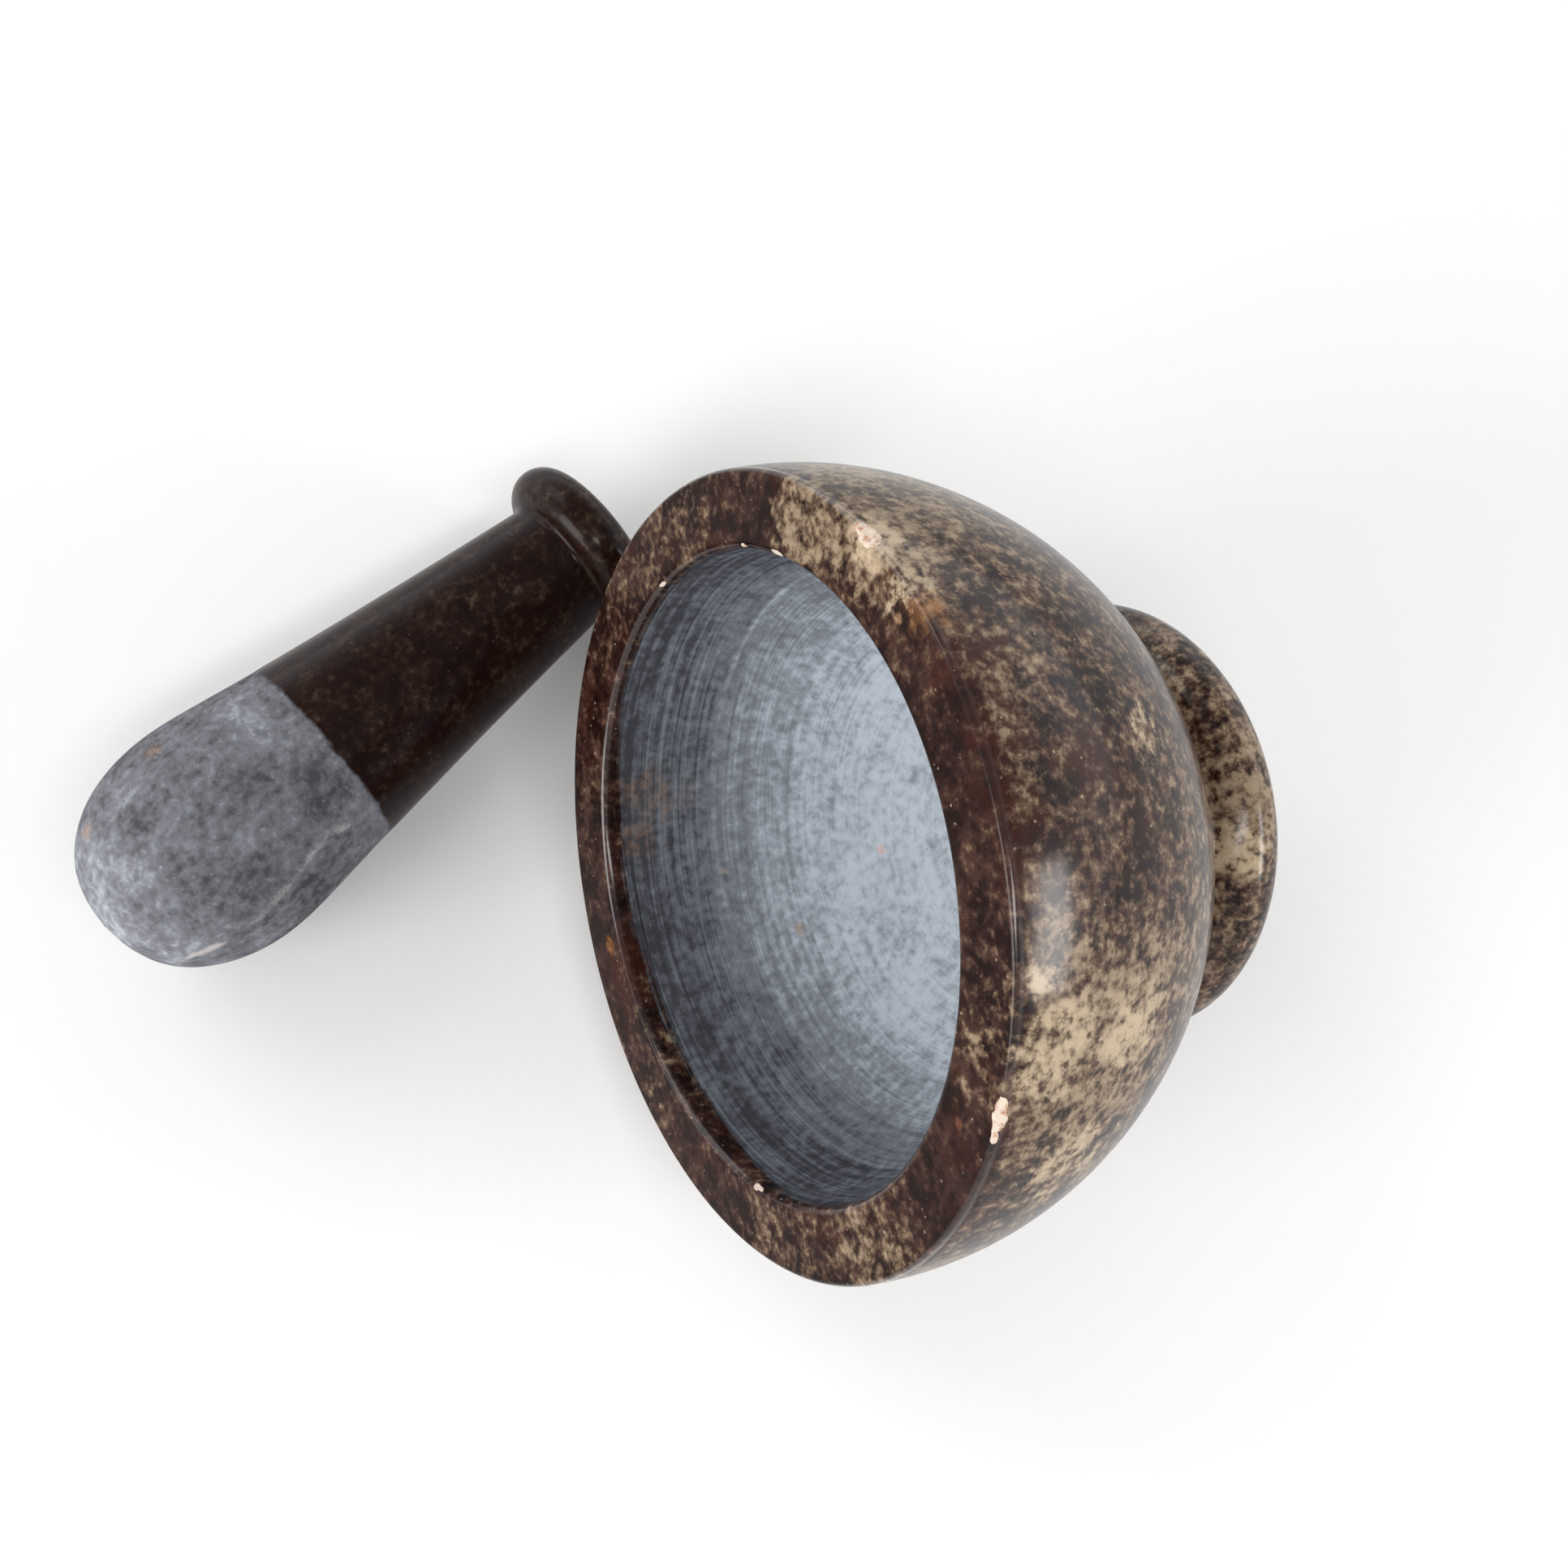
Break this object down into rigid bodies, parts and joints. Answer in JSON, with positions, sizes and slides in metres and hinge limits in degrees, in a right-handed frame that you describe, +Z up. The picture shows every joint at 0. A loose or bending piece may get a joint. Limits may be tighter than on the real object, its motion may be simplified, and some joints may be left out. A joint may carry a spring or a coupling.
{
  "type": "mortar and pestle",
  "caption": "Turned stone mortar with a thick-walled round bowl and ring foot, lying on its side beside its tapered pestle with a button end.",
  "frame": {"origin": "centre of the pair's bounding box, on the floor that both pieces lie on", "axes": "+Z up from the floor; +X along the floor from the mortar's open mouth towards its foot; +Y towards the side of the mortar where the pestle lies"},
  "size_m": [0.1566, 0.136, 0.0979],
  "materials": {
    "mortar_stone": "polished",
    "pestle_stone": "polished"
  },
  "bodies": {
    "mortar": {"mortar": "mortar_stone"},
    "pestle": {"pestle": "pestle_stone"}
  },
  "joints": [
    {"name": "pestle_lift", "type": "slide", "parent": "mortar", "child": "pestle", "axis": [0, 0, 1], "range_m": [0, 0.13]}
  ]
}
